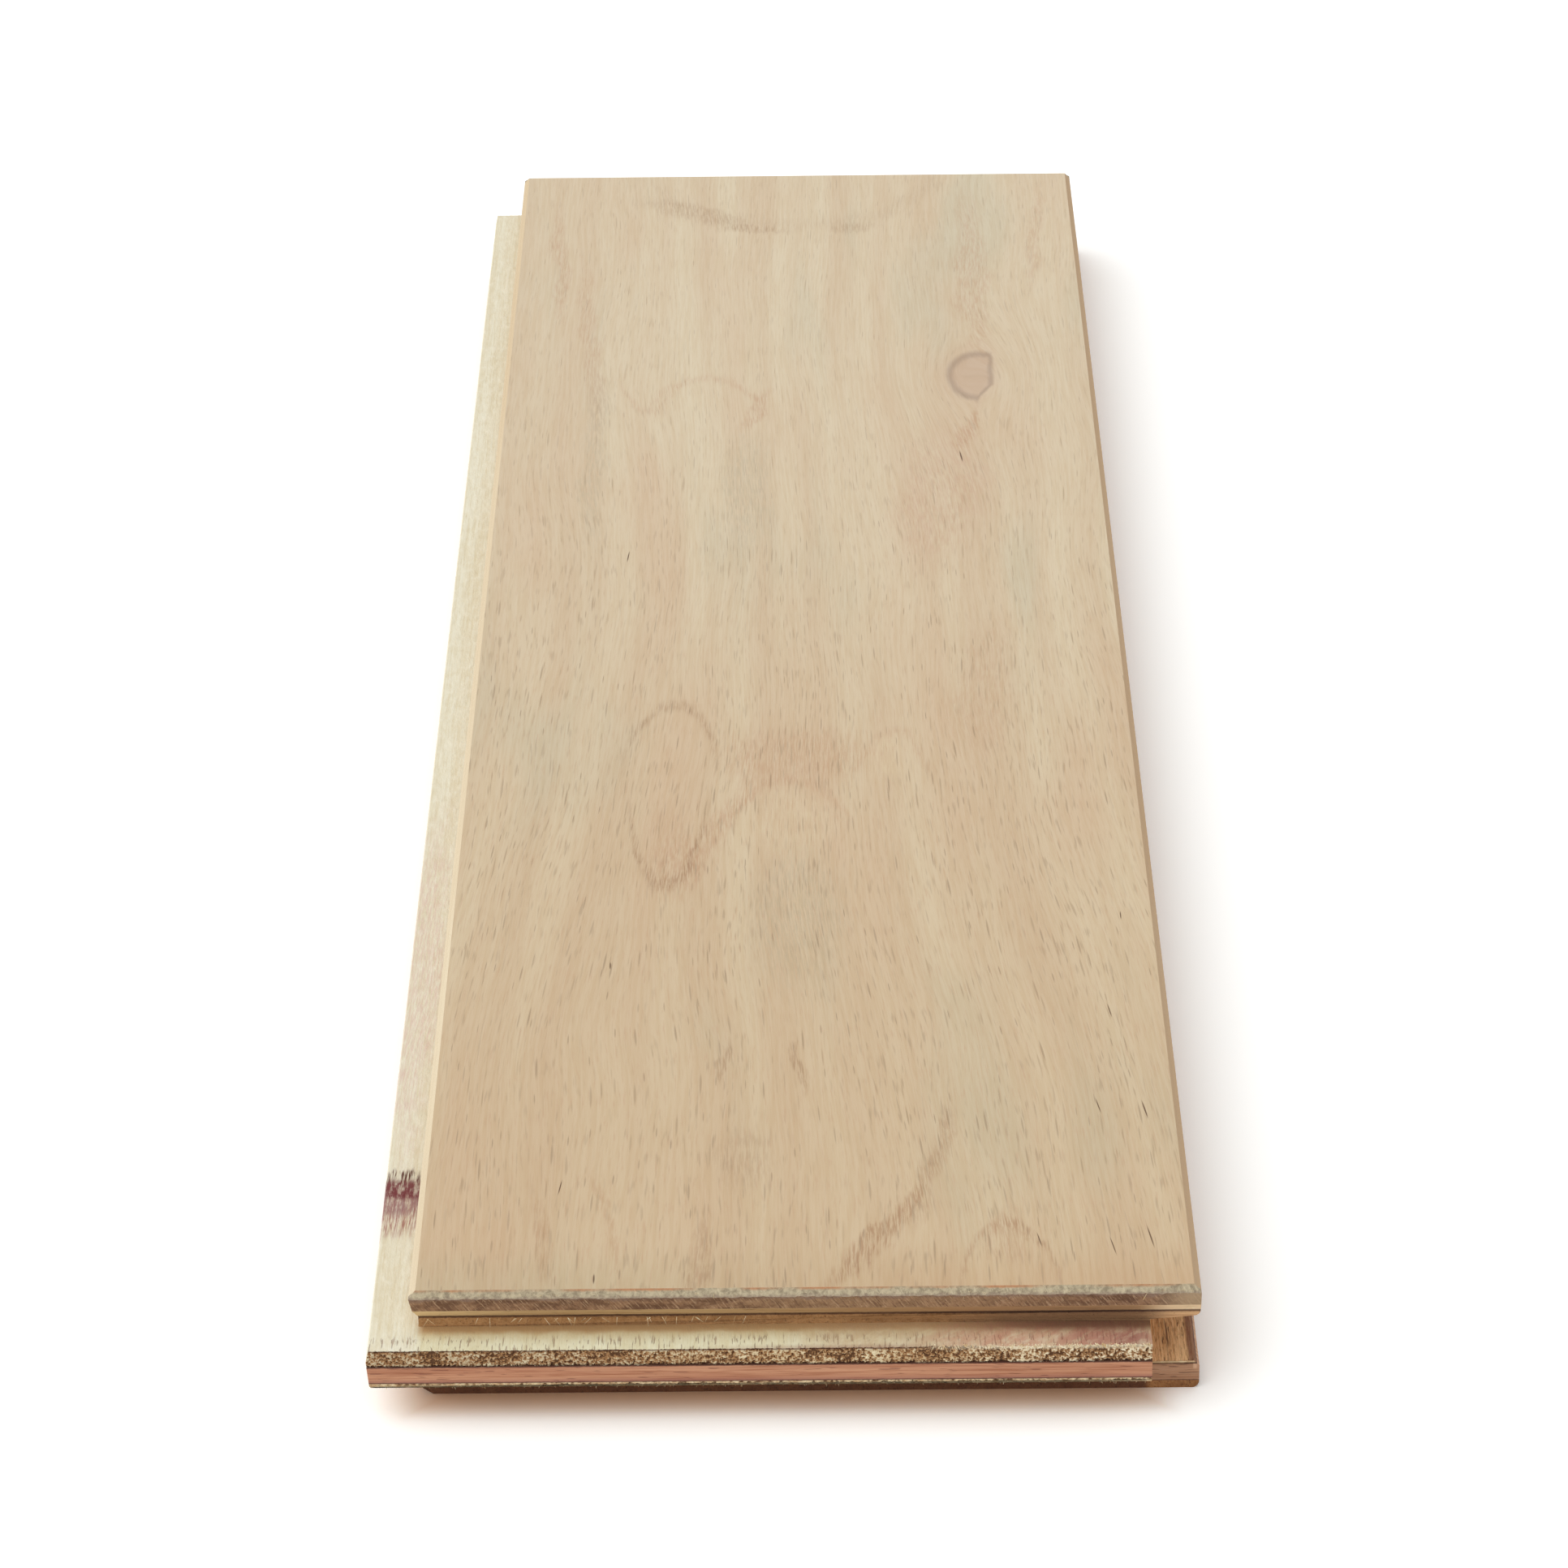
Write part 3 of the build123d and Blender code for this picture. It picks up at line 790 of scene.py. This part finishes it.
# Lip ply: brown wood laid across the block, the body of the lower lip. Its outer top corner was
# chamfered by a small cutter, which left a paler pink band with slanting tool marks.
brown_ply, tree, shader = new_finish("brown_ply", 0.72)
brown_wood, shaded_brown = paint(204, 160, 128), paint(174, 130, 100)
position, colour, height = ply_pattern(tree, brown_wood, shaded_brown, True, paint(112, 78, 60), 0.6)
place = axes(tree, position)
lip_top = underside("groove_ply")
band = ramp(tree, place[0], face_high.x - 0.8, face_high.x - 0.6)
band = times(tree, band, ramp(tree, place[2], lip_top - 0.85, lip_top - 0.55), 0.8)
slant = put(tree, "Mapping", {"Vector": position, "Rotation": (0.0, 0.0, 0.5)}).outputs[0]
tooling = ramp(tree, cloud(tree, slant, (0.3, 2.6, 0.3), 1.0), 0.4, 0.6)
tooled = tint(tree, tooling, paint(226, 186, 150), paint(196, 150, 118))
colour = tint(tree, band, colour, tooled)
colour = run_glue(tree, position, colour, lip_top, 0.14, 0.8)
colour = run_glue(tree, position, colour, underside("lip_ply"), 0.16, 0.7)
dress(tree, shader, colour, height, 0.08)
finish_node("lip_ply", brown_ply)

# Back veneer: a dark olive-brown sheet that closes the underside, grain along the block, rolled and
# knife-cut, so that fine lathe checks run along it. Its front edge under the tongue is darkened with
# painted shade.
dark_veneer, tree, shader = new_finish("dark_veneer", 0.75)
dark_wood, shaded_dark = paint(174, 124, 78), paint(144, 98, 58)
position, colour, height = ply_pattern(tree, dark_wood, shaded_dark, False, paint(80, 52, 32), 0.7)
place = axes(tree, position)
groove_wall = 39.25
# painted shade: the front edge under the tongue, left of the groove wall, is painted darker
shade_under_tongue = ramp(tree, place[1], front + 2.0, front + 1.4)
shade_under_tongue = times(tree, shade_under_tongue, ramp(tree, place[0], groove_wall + 0.25, groove_wall - 0.75), 0.75)
colour = tint(tree, shade_under_tongue, colour, paint(84, 52, 42))
dress(tree, shader, colour, height, 0.1)
finish_node("back_veneer", dark_veneer)

# Torn fibres: hairs and slivers of wood that the cutters left standing along the bevel, under the face
# veneer and on the front tongue's edges. Each is rooted in the layer that it comes from.
fibre_tone, tree, shader = new_finish("torn_fibre", 0.8)
tone = ramp(tree, cloud(tree, millimetres(tree), (0.9, 0.9, 0.9), 2.0), 0.35, 0.65)
colour = tint(tree, tone, paint(236, 222, 188), paint(206, 176, 128))
tree.links.new(colour, shader.inputs["Base Color"])
draw = random.Random(27)
fibres = bmesh.new()
root_depth = 0.1


def add_fibre(root, aim, length, thickness):
    """One tapered hair of wood, its thick end sunk in the ply."""
    aim = Vector(aim).normalized()
    middle = Vector(root) + aim * (0.5 * length - root_depth)
    turned = aim.to_track_quat("Z", "Y").to_matrix().to_4x4()
    bmesh.ops.create_cone(
        fibres,
        cap_ends=True,
        segments=4,
        radius1=thickness * MM,
        radius2=0.25 * thickness * MM,
        depth=length * MM,
        matrix=Matrix.Translation(middle * MM) @ turned,
    )


def pick(span):
    """A value drawn from between two ends, or a fixed value as it is."""
    return draw.uniform(*span) if isinstance(span, tuple) else span


def tear_out(count, across, along, up, aim, length, thickness):
    """A row of fibres rooted within the given spans, and aimed within three spans more."""
    for strand in range(count):
        x = pick(across)
        heading = [pick(span) for span in aim]
        root = (x, pick(along), pick(up))
        add_fibre(root, heading, pick(length), pick(thickness))


bevel_foot = (face_top - 0.9, face_top - 0.5)
aim = ((-1.0, 1.0), (-0.4, -0.15), (-0.6, 0.3))
tear_out(150, (-44.0, 44.0), front + 0.4, bevel_foot, aim, (0.4, 0.9), (0.02, 0.04))
sponge = (tongue_low.z + 0.15, tongue_top - 0.15)
aim = ((-0.8, 0.8), (-1.0, -0.2), (-0.4, 0.5))
tear_out(150, (-49.0, 39.0), tip + 0.45, sponge, aim, (0.3, 0.7), (0.03, 0.07))
under_tongue = 4.3
aim = ((-0.8, 0.8), (-0.5, 0.4), -1.0)
tear_out(130, (-48.0, 39.0), tip + 0.75, under_tongue, aim, (0.3, 0.6), (0.03, 0.06))
tongue_edge = (tip + 0.45, tip + 0.75)
aim = ((-0.7, 0.7), -1.0, (-0.3, 0.1))
tear_out(90, (14.0, 39.0), tongue_edge, tongue_top - 0.02, aim, (0.4, 0.9), (0.05, 0.1))
under_veneer = underside("face_veneer") + 0.1
aim = ((-0.9, 0.9), (-0.5, -0.2), (-0.9, -0.3))
tear_out(30, (-44.0, -6.0), front + 0.1, under_veneer, aim, (0.5, 1.1), (0.03, 0.05))
single_hairs = [
    (43.3, 11.2, (0.25, -0.5, 0.8), 0.9),
    (44.0, 11.3, (0.9, -0.5, 0.3), 0.9),
    (38.4, 12.5, (0.4, -0.2, 0.9), 1.1),
]
for x, z, aim, length in single_hairs:
    add_fibre((x, front, z), aim, length, 0.05)
lay_piece(fibres, "torn_fibres", (fibre_tone,))

# Stage: a white table that keeps the block's soft shadow, with a warm shade painted round the block's
# foot, a broad lamp from the left, a pale surround, and the camera standing in front of the tongued end.
table_reach = 3.0
clear_of_back = Matrix.Translation((0.0, 0.0, 0.02 * MM))
floor_shape = bmesh.new()
bmesh.ops.create_grid(floor_shape, x_segments=1, y_segments=1, size=table_reach, matrix=clear_of_back)
floor_mesh = bpy.data.meshes.new("table_top")
floor_shape.to_mesh(floor_mesh)
floor_shape.free()
table_top = bpy.data.objects.new("table_top", floor_mesh)
bpy.context.scene.collection.objects.link(table_top)
white = bpy.data.materials.new("white_table")
white.use_nodes = True
tree = white.node_tree
tree.nodes.clear()
path = put(tree, "LightPath").outputs
seen = sums(tree, "MAXIMUM", path["Is Glossy Ray"], path["Is Transmission Ray"])
seen = sums(tree, "MAXIMUM", path["Is Camera Ray"], seen)
place = axes(tree, millimetres(tree))
tongue_shift = 2.0
half_width = face_high.x + tongue_shift
half_length = face_high.y + tongue_shift
from_side = less(tree, sums(tree, "ABSOLUTE", plus(tree, place[0], tongue_shift)), half_width)
from_end = less(tree, sums(tree, "ABSOLUTE", plus(tree, place[1], tongue_shift)), half_length)
# painted shade: a warm brown shade is painted on the table round and under the block's foot, strongest at
# its ends
beside = ramp(tree, sums(tree, "MAXIMUM", plus(tree, from_side, 3.0), from_end), 1.5, -5.0)
seen_white_with_painted_shade = tint(tree, beside, (1.2, 1.21, 1.195, 1.0), (0.8, 0.63, 0.49, 1.0))
table_colour = tint(tree, seen, (0.85, 0.85, 0.85, 1.0), seen_white_with_painted_shade)
matt = put(tree, "BsdfDiffuse", {"Color": table_colour})
tree.links.new(matt.outputs[0], put(tree, "OutputMaterial").inputs[0])
table_top.data.materials.append(white)

world = bpy.data.worlds.new("studio")
bpy.context.scene.world = world
world.use_nodes = True
surround = world.node_tree.nodes["Background"].inputs
surround["Color"].default_value = (1.0, 1.0, 1.0, 1.0)
surround["Strength"].default_value = 0.7

lamp = bpy.data.lights.new("broad_lamp", "SUN")
lamp.energy = 1.55
lamp.angle = math.radians(95.0)
lamp_holder = bpy.data.objects.new("broad_lamp", lamp)
bpy.context.scene.collection.objects.link(lamp_holder)
lamp_holder.rotation_euler = Vector((1.0, 0.05, -1.0)).to_track_quat("-Z", "Y").to_euler()

picture_pixels = 1932.0
focal_pixels = 7655.57
camera_place = Vector((0.86, -787.11, 375.1)) * MM
heading, tilt, roll = (math.radians(angle) for angle in (0.244, 90.0 - 26.08, -0.628))
lens = bpy.data.cameras.new("camera")
lens.sensor_width = 36.0
lens.lens = focal_pixels * lens.sensor_width / picture_pixels
lens.clip_start = 0.01
camera = bpy.data.objects.new("camera", lens)
bpy.context.scene.collection.objects.link(camera)
view = Matrix.Rotation(heading, 4, "Z") @ Matrix.Rotation(tilt, 4, "X") @ Matrix.Rotation(roll, 4, "Z")
camera.matrix_world = Matrix.Translation(camera_place) @ view
bpy.context.scene.camera = camera
bpy.context.scene.view_settings.view_transform = "Standard"
